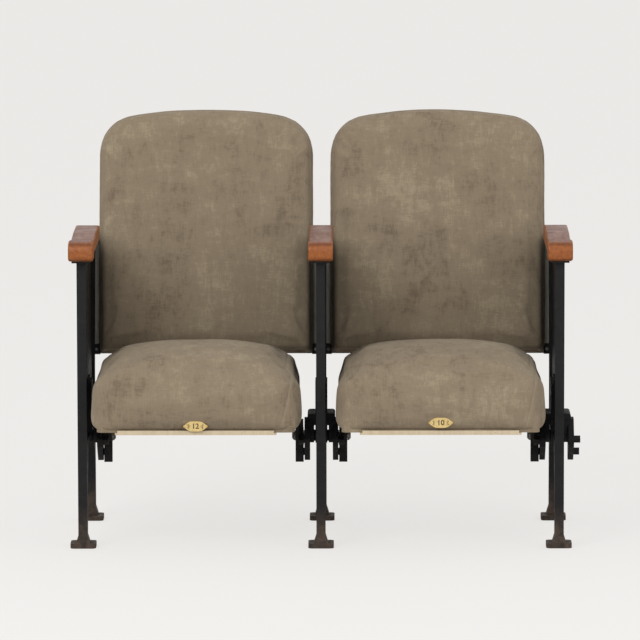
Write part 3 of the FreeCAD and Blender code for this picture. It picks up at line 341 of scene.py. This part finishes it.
def cast_iron():
    """Black paint over a sandy casting, brown with rust towards the floor and where it is knocked."""
    material, tree, shader = new_material("cast_iron", {"Roughness": 0.55, "Specular IOR Level": 0.22})
    rust_top, rust_full = 0.10, 0.015
    worn_paint = (0.017, 0.016, 0.016, 1)
    look = finishes()
    place = surface_place(tree)
    sand = noise(tree, place, 420.0, 4.0, 0.6)
    lumps = noise(tree, place, 60.0, 3.0, 0.5)
    scuffs = noise(tree, place, 38.0, 5.0, 0.7, 0.8)
    height = split(tree, place)["Z"]
    low = spread(tree, height, rust_top, rust_full)
    rusty = sums(tree, low, spread(tree, scuffs, 0.35, 0.62, 0.35, 1.0), "MULTIPLY")
    flecks = spread(tree, scuffs, 0.66, 0.74, 0.0, 0.55)
    colour = blend(tree, sums(tree, rusty, flecks, "MAXIMUM"), tuple(look.iron), tuple(look.rust))
    colour = blend(tree, spread(tree, lumps, 0.45, 0.75, 0.0, 0.5), colour, worn_paint)
    lay(tree, shader, colour, spread(tree, scuffs, 0.3, 0.7, 0.45, 0.75))
    bump(tree, shader, sums(tree, lumps, sums(tree, sand, 0.5, "MULTIPLY")), 0.0009, 0.6)
    return material


def painted_sheet(name, paint, worn, chip):
    """Old paint on thin metal: streaked, dusty and chipped to the primer."""
    material, tree, shader = new_material(name, {"Roughness": 0.6})
    place = surface_place(tree)
    streaks = noise(tree, stretched(tree, place, (90, 90, 9)), 1.0, 4.0, 0.6, 0.6)
    chips = noise(tree, place, 110.0, 5.0, 0.62, 0.5)
    colour = blend(tree, spread(tree, streaks, 0.35, 0.7, 0.0, 0.6), paint, worn)
    colour = blend(tree, spread(tree, chips, 0.68, 0.73), colour, chip)
    lay(tree, shader, colour, spread(tree, chips, 0.4, 0.7, 0.5, 0.8))
    bump(tree, shader, chips, 0.0004, 0.3)
    return material


def plywood():
    """Bare ply: pale and dark layers on its edges, broad grain on its faces."""
    material, tree, shader = new_material("plywood", {"Roughness": 0.75})
    pale_layer = (0.30, 0.19, 0.095, 1)
    dark_layer = (0.17, 0.095, 0.045, 1)
    pore_colour = (0.09, 0.05, 0.025, 1)
    place = surface_place(tree)
    grain = noise(tree, stretched(tree, place, (9, 120, 120)), 1.0, 4.0, 0.6, 0.8)
    pores = noise(tree, stretched(tree, place, (40, 700, 700)), 1.0, 2.0)
    colour = blend(tree, spread(tree, grain, 0.3, 0.7), pale_layer, dark_layer)
    lay(tree, shader, blend(tree, spread(tree, pores, 0.5, 0.8, 0.0, 0.5), colour, pore_colour))
    bump(tree, shader, pores, 0.0003, 0.4)
    return material


def dark_steel():
    """Old bolts and screws: dull steel with brown stains."""
    material, tree, shader = new_material("dark_steel", {"Roughness": 0.42, "Metallic": 1.0})
    bare_steel = (0.20, 0.19, 0.185, 1)
    stain_colour = (0.075, 0.058, 0.048, 1)
    place = surface_place(tree)
    stains = noise(tree, place, 180.0, 4.0, 0.6)
    colour = blend(tree, spread(tree, stains, 0.4, 0.7), bare_steel, stain_colour)
    lay(tree, shader, colour, spread(tree, stains, 0.3, 0.7, 0.32, 0.65))
    bump(tree, shader, stains, 0.0003, 0.3)
    return material


def rubber():
    """Black rubber of the stops, greyed by age."""
    material, tree, shader = new_material("rubber", {"Roughness": 0.85})
    fresh_black = (0.010, 0.010, 0.010, 1)
    aged_grey = (0.045, 0.042, 0.040, 1)
    place = surface_place(tree)
    bloom = noise(tree, place, 150.0, 4.0, 0.6)
    lay(tree, shader, blend(tree, spread(tree, bloom, 0.4, 0.75), fresh_black, aged_grey))
    bump(tree, shader, bloom, 0.0003, 0.3)
    return material


def brass():
    """Brushed brass with patches of tarnish."""
    material, tree, shader = new_material("brass", {"Roughness": 0.34, "Metallic": 1.0})
    bright_brass = (0.97, 0.75, 0.34, 1)
    tarnished_brass = (0.68, 0.46, 0.17, 1)
    place = surface_place(tree)
    tarnish = noise(tree, place, 260.0, 4.0, 0.6, 0.5)
    scratches = noise(tree, stretched(tree, place, (90, 900, 1600)), 1.0, 2.0)
    colour = blend(tree, spread(tree, tarnish, 0.45, 0.75), bright_brass, tarnished_brass)
    lay(tree, shader, colour, spread(tree, scratches, 0.3, 0.7, 0.26, 0.46))
    bump(tree, shader, scratches, 0.0001, 0.3)
    return material


def black_enamel():
    """Dark filling of the digits and rays, worn through to the brass in places."""
    material, tree, shader = new_material("black_enamel", {"Roughness": 0.5})
    dark_fill = (0.030, 0.018, 0.008, 1)
    worn_fill = (0.13, 0.085, 0.03, 1)
    place = surface_place(tree)
    wear = noise(tree, place, 700.0, 3.0, 0.6)
    lay(tree, shader, blend(tree, spread(tree, wear, 0.5, 0.8), dark_fill, worn_fill))
    return material


# Covers

def blank_from(cad_node, name):
    """A welded copy of a soft solid, to stretch a cover over."""
    weld = 0.00002
    blank = bpy.data.objects.new(name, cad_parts[cad_node].data.copy())
    bpy.context.scene.collection.objects.link(blank)
    blank.data.name = name
    pick(blank)
    bpy.ops.object.mode_set(mode="EDIT")
    bpy.ops.mesh.select_all(action="SELECT")
    bpy.ops.mesh.remove_doubles(threshold=weld)
    bpy.ops.object.mode_set(mode="OBJECT")
    return blank


def fill_room(blank, low, high):
    """Fill a room inside a blank with a block, which the remesh then melts into it."""
    let_go()
    bpy.ops.mesh.primitive_cube_add(size=1, location=middle_of(low, high))
    block = settle_size(new_piece("filling"), [second - first for first, second in zip(low, high)])
    block.select_set(True)
    blank.select_set(True)
    bpy.context.view_layer.objects.active = blank
    bpy.ops.object.join()


def melt(cover):
    """Remesh a cover's solids into one skin of small, even faces."""
    finish_modifier(cover, "REMESH", mode="VOXEL", voxel_size=covers().voxel)


def stuff(cover, held, swell):
    """Blow a cover up as cloth. Held points stay, and no other moves by more than swell."""
    last_step = 20
    start = points_of(cover)
    group = cover.vertex_groups.new(name="held")
    group.add([int(number) for number in np.flatnonzero(held(start))], 1.0, "REPLACE")
    pick(cover)
    cloth = cover.modifiers.new("Cloth", "CLOTH")
    cloth.settings.quality = 5
    cloth.settings.mass = 0.3
    cloth.settings.tension_stiffness = 12
    cloth.settings.compression_stiffness = 12
    cloth.settings.shear_stiffness = 5
    cloth.settings.bending_stiffness = 0.6
    cloth.settings.use_pressure = True
    cloth.settings.uniform_pressure_force = covers().pressure
    cloth.settings.vertex_group_mass = "held"
    cloth.settings.effector_weights.gravity = 0
    cloth.collision_settings.use_collision = False
    cloth.point_cache.frame_start = 1
    cloth.point_cache.frame_end = last_step
    scene = bpy.context.scene
    for step in range(1, last_step + 1):
        scene.frame_set(step)
    bpy.ops.object.modifier_apply(modifier=cloth.name)
    scene.frame_set(1)
    moved = points_of(cover) - start
    length = np.linalg.norm(moved, axis=1, keepdims=True)
    move_points(cover, start + moved * np.minimum(1.0, swell / np.maximum(length, 1e-9)))


def shrink(cover, amount):
    """Draw a cover in a little, to leave room for its stuffing."""
    move_points(cover, points_of(cover) - normals_of(cover) * amount)


def settle_folds(cover, size, depth, seed):
    """Slow waves in the cloth, where it has given with use."""
    points = points_of(cover)
    normals = normals_of(cover)
    offset = Vector((seed * 3.7, seed * 1.3, seed * 2.1))
    waves = [field.noise(Vector(point) / size + offset) for point in points]
    move_points(cover, points + normals * (np.array(waves) * depth)[:, None])


def depth_in_back(points):
    """How far back each point lies, measured square to the tilted backs."""
    return points[:, 1] * cos(BACK_TILT) - points[:, 2] * sin(BACK_TILT)


def seat_edge(points, low, high):
    """How far each point lies outside a seat's side seams. A point between the seams is negative."""
    nose_length = 0.070
    waist_inset, waist_run = 0.0115, 0.018
    flare_top, flare_height = 0.395, 0.140
    top_inset, flare, flare_power = 0.020, 0.027, 1.6
    half = (high[0] - low[0]) / 2
    waist = waist_inset * np.clip((points[:, 1] - (low[1] + nose_length)) / waist_run, 0, 1)
    drop = np.clip((flare_top - points[:, 2]) / flare_height, 0, 1)
    inset = top_inset + flare * drop ** flare_power
    return np.abs(points[:, 0] - middle_of(low, high)[0]) - (half - waist - inset)


def sew_seams(cover, low, high, depth):
    """Press the side seams into a seat's cover and mark their thread."""
    groove_width, thread_width = 0.0022, 0.0014
    ridge_offset, ridge_width, ridge_share = 0.0055, 0.0030, 0.35
    fade_start, fade_height = 0.012, 0.010
    left_share, thread_share = 0.4, 0.6
    points = points_of(cover)
    across = seat_edge(points, low, high)
    groove = np.exp(-(across / groove_width) ** 2)
    ridge = np.exp(-((np.abs(across) - ridge_offset) / ridge_width) ** 2)
    thread = np.exp(-(across / thread_width) ** 2)
    facing = np.clip((points[:, 2] - low[2] - fade_start) / fade_height, 0, 1)
    side = np.where(points[:, 0] > middle_of(low, high)[0], 1.0, left_share)
    shift = (-groove * depth + ridge * depth * ridge_share) * facing * side
    move_points(cover, points + normals_of(cover) * shift[:, None])
    seam = cover.data.attributes.new("seam", "FLOAT", "POINT")
    seam.data.foreach_set("value", (thread * facing * side * thread_share).astype(np.float32))


def dome(cover, low, high):
    """Round a seat's cover down towards its sides, from the height that it has along its middle."""
    ridge_reach, ridge_step, floor_room = 0.03, 0.008, 0.03
    widest_share, shoulder_power = 0.998, 8
    points = points_of(cover)
    aside = np.abs(points[:, 0] - middle_of(low, high)[0])
    ridge = points[aside < ridge_reach]
    depths = np.arange(low[1], high[1], ridge_step)
    heights = [ridge[np.abs(ridge[:, 1] - depth) < ridge_step, 2].max() for depth in depths]
    share = np.clip(aside / ((high[0] - low[0]) / 2), 0, widest_share)
    shoulder = 1 - np.sqrt(1 - share ** shoulder_power)
    drop = covers().dome_slope * share ** 2 + covers().dome_shoulder * shoulder
    cap = np.interp(points[:, 1], depths, heights) - drop
    points[:, 2] = np.minimum(points[:, 2], np.maximum(cap, low[2] + floor_room))
    move_points(cover, points)


def tuck_under(cover, pan_low, pan_high):
    """Lift the cover's front edge clear of the pan's lip, so that the lip shows below it."""
    side_margin, lip_depth, clearance = 0.001, 0.012, 0.0008
    points = points_of(cover)
    beside = (points[:, 0] > pan_low[0] - side_margin) & (points[:, 0] < pan_high[0] + side_margin)
    ahead = points[:, 1] < pan_low[1] + lip_depth
    level = pan_high[2] + clearance
    points[beside & ahead & (points[:, 2] < level), 2] = level
    move_points(cover, points)


def press_behind(cover, plate_low, plate_high):
    """Press a cover back behind its number plate, with a soft dent around it."""
    clearance, dent_slope, reach = 0.0004, 0.4, 0.02
    points = points_of(cover)
    across, up = [
        np.maximum(np.maximum(plate_low[axis] - points[:, axis], points[:, axis] - plate_high[axis]), 0)
        for axis in (0, 2)]
    limit = plate_high[1] + clearance - dent_slope * np.hypot(across, up)
    ahead = points[:, 1] < plate_high[1] + reach
    points[ahead, 1] = np.maximum(points[ahead, 1], limit[ahead])
    move_points(cover, points)


def dress(cover, material):
    """Shade a cover smooth and lay the velvet on it."""
    pick(cover)
    bpy.ops.object.shade_smooth()
    coat(cover, material)


class SEATBANK_OT_seat_cushions(bpy.types.Operator):
    """Make the two domed seat cushions in seamed velvet"""
    bl_idname = "seatbank.seat_cushions"
    bl_label = "Seat cushions"

    def execute(self, context):
        held_height, board_margin, draw_in = 0.006, 0.004, 0.35
        fold_size, fold_depth, first_seed = 0.085, 0.0016, 1
        material = velvet()
        for seed, seat in enumerate(SEATS, first_seed):
            cad_node = f"{seat}_seat_cushion"
            low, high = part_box(cad_node)
            board_low, board_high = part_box(f"{seat}_seat_board")
            pan_low, pan_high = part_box(f"{seat}_seat_pan")
            cover = blank_from(cad_node, f"{seat}_seat_cover")
            fill_room(cover, (board_low[0] - board_margin, board_low[1], low[2]),
                      [corner + board_margin for corner in board_high])
            melt(cover)
            dome(cover, low, high)
            melt(cover)
            finish_modifier(cover, "SMOOTH", factor=0.5, iterations=12)

            def held(points):
                return points[:, 2] < low[2] + held_height

            shrink(cover, draw_in * covers().seat_swell)
            stuff(cover, held, covers().seat_swell)
            settle_folds(cover, fold_size, fold_depth, seed)
            finish_modifier(cover, "SUBSURF", levels=1, render_levels=1)
            tuck_under(cover, pan_low, pan_high)
            press_behind(cover, *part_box(f"{seat}_number_plate"))
            sew_seams(cover, low, high, covers().seam_depth)
            dress(cover, material)
            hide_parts(cad_node)
            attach(cover, f"{seat}_seat")
        return {"FINISHED"}


class SEATBANK_OT_back_cushions(bpy.types.Operator):
    """Make the two padded backs in velvet"""
    bl_idname = "seatbank.back_cushions"
    bl_label = "Back cushions"

    def execute(self, context):
        held_depth, draw_in = 0.009, 0.3
        fold_size, fold_depth, first_seed = 0.11, 0.0014, 5
        material = bpy.data.materials["velvet"]
        for seed, seat in enumerate(SEATS, first_seed):
            cad_node = f"{seat}_back_pad"
            cover = blank_from(cad_node, f"{seat}_back_cover")
            rear = depth_in_back(points_of(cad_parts[f"{seat}_back_board"])).min()
            melt(cover)
            finish_modifier(cover, "SMOOTH", factor=0.5, iterations=8)

            def held(points):
                return depth_in_back(points) > rear - held_depth

            shrink(cover, draw_in * covers().back_swell)
            stuff(cover, held, covers().back_swell)
            settle_folds(cover, fold_size, fold_depth, seed)
            finish_modifier(cover, "SUBSURF", levels=1, render_levels=1)
            dress(cover, material)
            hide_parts(cad_node)
            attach(cover, "frame")
        return {"FINISHED"}


class SEATBANK_OT_castings(bpy.types.Operator):
    """Paint the cast iron standards, hinge brackets and hinge arms"""
    bl_idname = "seatbank.castings"
    bl_label = "Castings"

    def execute(self, context):
        material = cast_iron()
        for name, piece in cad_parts.items():
            if name.endswith(("_standard", "hinge_bracket", "hinge_arm")):
                coat(piece, material)
        return {"FINISHED"}


class SEATBANK_OT_armrests(bpy.types.Operator):
    """Finish the three wooden armrests"""
    bl_idname = "seatbank.armrests"
    bl_label = "Armrests"

    def execute(self, context):
        material = armrest_wood()
        for key in STANDARDS:
            coat(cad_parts[f"{key}_armrest"], material)
        return {"FINISHED"}


class SEATBANK_OT_sheet_metal(bpy.types.Operator):
    """Paint the seat pans and the panels behind the backs"""
    bl_idname = "seatbank.sheet_metal"
    bl_label = "Sheet metal"

    def execute(self, context):
        cream = painted_sheet("cream_paint", paint=(0.60, 0.50, 0.345, 1),
                              worn=(0.50, 0.40, 0.27, 1), chip=(0.20, 0.12, 0.06, 1))
        grey = painted_sheet("grey_paint", paint=(0.52, 0.50, 0.43, 1),
                             worn=(0.42, 0.395, 0.33, 1), chip=(0.09, 0.07, 0.05, 1))
        for seat in SEATS:
            coat(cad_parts[f"{seat}_seat_pan"], cream)
            coat(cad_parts[f"{seat}_back_panel"], grey)
        return {"FINISHED"}


class SEATBANK_OT_boards(bpy.types.Operator):
    """Finish the plywood of the backs, and lay the velvet on the seats' boards"""
    bl_idname = "seatbank.boards"
    bl_label = "Plywood boards"

    def execute(self, context):
        material = plywood()
        for seat in SEATS:
            coat(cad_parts[f"{seat}_seat_board"], bpy.data.materials["velvet"])
            coat(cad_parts[f"{seat}_back_board"], material)
        return {"FINISHED"}


class SEATBANK_OT_fixings(bpy.types.Operator):
    """Finish the bolts, screws, washers, bushes, rubber stops and brass plates"""
    bl_idname = "seatbank.fixings"
    bl_label = "Fixings"

    def execute(self, context):
        steel, black_rubber, yellow_brass = dark_steel(), rubber(), brass()
        for name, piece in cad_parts.items():
            if name.endswith(("_screws", "_bolts", "_bolt", "_washer")):
                coat(piece, steel)
            elif name.endswith("stop_buffers"):
                coat(piece, black_rubber)
            elif name.endswith(("pivot_bush", "plate_pins", "number_plate")):
                coat(piece, yellow_brass)
        return {"FINISHED"}


class SEATBANK_OT_number_plates(bpy.types.Operator):
    """Put the seat numbers and the engraved rays on the oval brass plates"""
    bl_idname = "seatbank.number_plates"
    bl_label = "Number plates"

    def ray(self, across, side, face, up, turn):
        """One engraved ray beside a plate's pin, fanned out by its turn in degrees."""
        pin_offset, ray_reach, flatness = 0.0185, 0.0055, 0.3
        base_radius, tip_radius, ray_length = 0.0007, 0.0002, 0.0042
        out = Vector((side * cos(radians(turn)), 0, sin(radians(turn))))
        place = Vector((across + side * pin_offset, face, up)) - out * ray_reach
        let_go()
        bpy.ops.mesh.primitive_cone_add(
            vertices=4, radius1=base_radius, radius2=tip_radius, depth=ray_length, location=place)
        piece = bpy.context.object
        piece.rotation_euler = (-out).to_track_quat("Z", "Y").to_euler()
        settle(piece)
        points = points_of(piece)
        points[:, 1] = face + (points[:, 1] - face) * flatness
        move_points(piece, points)
        return piece

    def execute(self, context):
        proud, digit_size, digit_weight, digit_depth = 0.0001, 0.0152, 0.00025, 0.0002
        turns = (-50, -25, 0, 25, 50)
        enamel = black_enamel()
        for seat, number in zip(SEATS, SEAT_NUMBERS):
            low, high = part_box(f"{seat}_number_plate")
            face = low[1] - proud
            across, up = middle_of(low, high)[0::2]
            rays = [self.ray(across, side, face, up, turn) for side in (-1, 1) for turn in turns]
            let_go()
            bpy.ops.object.text_add(location=(across, face, up), rotation=(pi / 2, 0, 0))
            digits = bpy.context.object
            digits.name = f"{seat}_seat_digits"
            digits.data.body = number
            digits.data.size = digit_size
            digits.data.align_x = "CENTER"
            digits.data.align_y = "CENTER"
            digits.data.offset = digit_weight
            digits.data.extrude = digit_depth
            bpy.ops.object.convert(target="MESH")
            digits = settle(bpy.context.object)
            for ray in rays:
                ray.select_set(True)
            bpy.ops.object.join()
            coat(digits, enamel)
            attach(digits, f"{seat}_seat")
        return {"FINISHED"}


class SEATBANK_OT_stage(bpy.types.Operator):
    """Set the pale floor, the soft light and the camera"""
    bl_idname = "seatbank.stage"
    bl_label = "Stage"

    def lay_floor(self):
        """A wide pale floor, a little below the feet, that a camera sees nearly white."""
        floor_size, floor_level, glow = 60, -0.0005, 0.68
        let_go()
        bpy.ops.mesh.primitive_plane_add(size=floor_size, location=(0, 0, floor_level))
        floor = new_piece("floor")
        material, tree, shader = new_material("pale_floor", {
            "Roughness": 0.9, "Base Color": (0.60, 0.585, 0.57, 1)})
        pale = node(tree, "ShaderNodeEmission", {"Color": WARM_WHITE, "Strength": 1.0})
        path = node(tree, "ShaderNodeLightPath")
        seen = sums(tree, path.outputs["Is Camera Ray"], glow, "MULTIPLY")
        mixed = node(tree, "ShaderNodeMixShader", {0: seen, 1: shader.outputs[0], 2: pale.outputs[0]})
        tree.links.new(mixed.outputs[0], tree.nodes["Material Output"].inputs["Surface"])
        coat(floor, material)

    def light_room(self, scene):
        """Soft light from all round, and a pale wall where a camera looks past the seats."""
        world = bpy.data.worlds.new("studio")
        scene.world = world
        world.use_nodes = True
        tree = world.node_tree
        light = tree.nodes["Background"]
        light.inputs["Color"].default_value = WARM_WHITE
        light.inputs["Strength"].default_value = 0.75
        wall = node(tree, "ShaderNodeBackground", {"Color": (0.86, 0.845, 0.83, 1), "Strength": 1.0})
        path = node(tree, "ShaderNodeLightPath")
        seen = node(tree, "ShaderNodeMixShader", {
            0: path.outputs["Is Camera Ray"], 1: light.outputs[0], 2: wall.outputs[0]})
        tree.links.new(seen.outputs[0], tree.nodes["World Output"].inputs["Surface"])

    def hang_lamps(self):
        """A key lamp on the left, and a larger and weaker one on the right."""
        for name, place, target, size, power in (
            ("key", (-2.2, -3.6, 3.2), (0, 0, 0.45), 2.4, 95),
            ("fill", (3.0, -3.0, 1.8), (0, 0, 0.4), 2.8, 40),
        ):
            bpy.ops.object.light_add(type="AREA", location=place)
            lamp = bpy.context.object
            lamp.name = name
            lamp.data.energy = power
            lamp.data.size = size
            lamp.rotation_euler = (Vector(target) - Vector(place)).to_track_quat("-Z", "Y").to_euler()

    def place_camera(self, scene):
        """The camera from which the seats are seen as in the photograph."""
        place = (0.084, -12.205, 2.0273)
        pitch, yaw, roll = 0.1283, -0.0071, -0.0020
        focal_pixels, picture_pixels, sensor_width, far_end = 5849, 640, 36, 200
        bpy.ops.object.camera_add(location=place)
        camera = bpy.context.object
        ahead = Vector((sin(yaw) * cos(pitch), cos(yaw) * cos(pitch), -sin(pitch)))
        right = Vector((cos(yaw), -sin(yaw), 0))
        up = right.cross(ahead)
        across = right * cos(roll) + up * sin(roll)
        above = up * cos(roll) - right * sin(roll)
        camera.rotation_euler = Matrix((across, above, -ahead)).transposed().to_euler()
        camera.data.lens = sensor_width * focal_pixels / picture_pixels
        camera.data.sensor_width = sensor_width
        camera.data.clip_end = far_end
        scene.camera = camera
        scene.view_settings.view_transform = "Standard"

    def execute(self, context):
        self.lay_floor()
        self.light_room(context.scene)
        self.hang_lamps()
        self.place_camera(context.scene)
        return {"FINISHED"}


PIECES = (
    SEATBANK_OT_seat_cushions,
    SEATBANK_OT_back_cushions,
    SEATBANK_OT_castings,
    SEATBANK_OT_armrests,
    SEATBANK_OT_sheet_metal,
    SEATBANK_OT_boards,
    SEATBANK_OT_fixings,
    SEATBANK_OT_number_plates,
    SEATBANK_OT_stage,
)


class SEATBANK_PT_panel(bpy.types.Panel):
    """The seat bank's pieces, sizes and colours"""
    bl_idname = "SEATBANK_PT_panel"
    bl_label = "Seat bank"
    bl_space_type = "VIEW_3D"
    bl_region_type = "UI"
    bl_category = "Seat bank"

    def draw(self, context):
        for group in (covers(), finishes()):
            for name in group.__annotations__:
                self.layout.prop(group, name)
        for piece in PIECES:
            self.layout.operator(piece.bl_idname)


CLASSES = (SeatBankCovers, SeatBankFinishes) + PIECES + (SEATBANK_PT_panel,)


def register():
    for item in CLASSES:
        bpy.utils.register_class(item)
    bpy.types.Scene.seat_bank_covers = bpy.props.PointerProperty(type=SeatBankCovers)
    bpy.types.Scene.seat_bank_finishes = bpy.props.PointerProperty(type=SeatBankFinishes)


def unregister():
    del bpy.types.Scene.seat_bank_finishes
    del bpy.types.Scene.seat_bank_covers
    for item in reversed(CLASSES):
        bpy.utils.unregister_class(item)


def main():
    register()
    for piece in PIECES:
        group, name = piece.bl_idname.split(".")
        getattr(getattr(bpy.ops, group), name)()


if __name__ == "__main__":
    main()
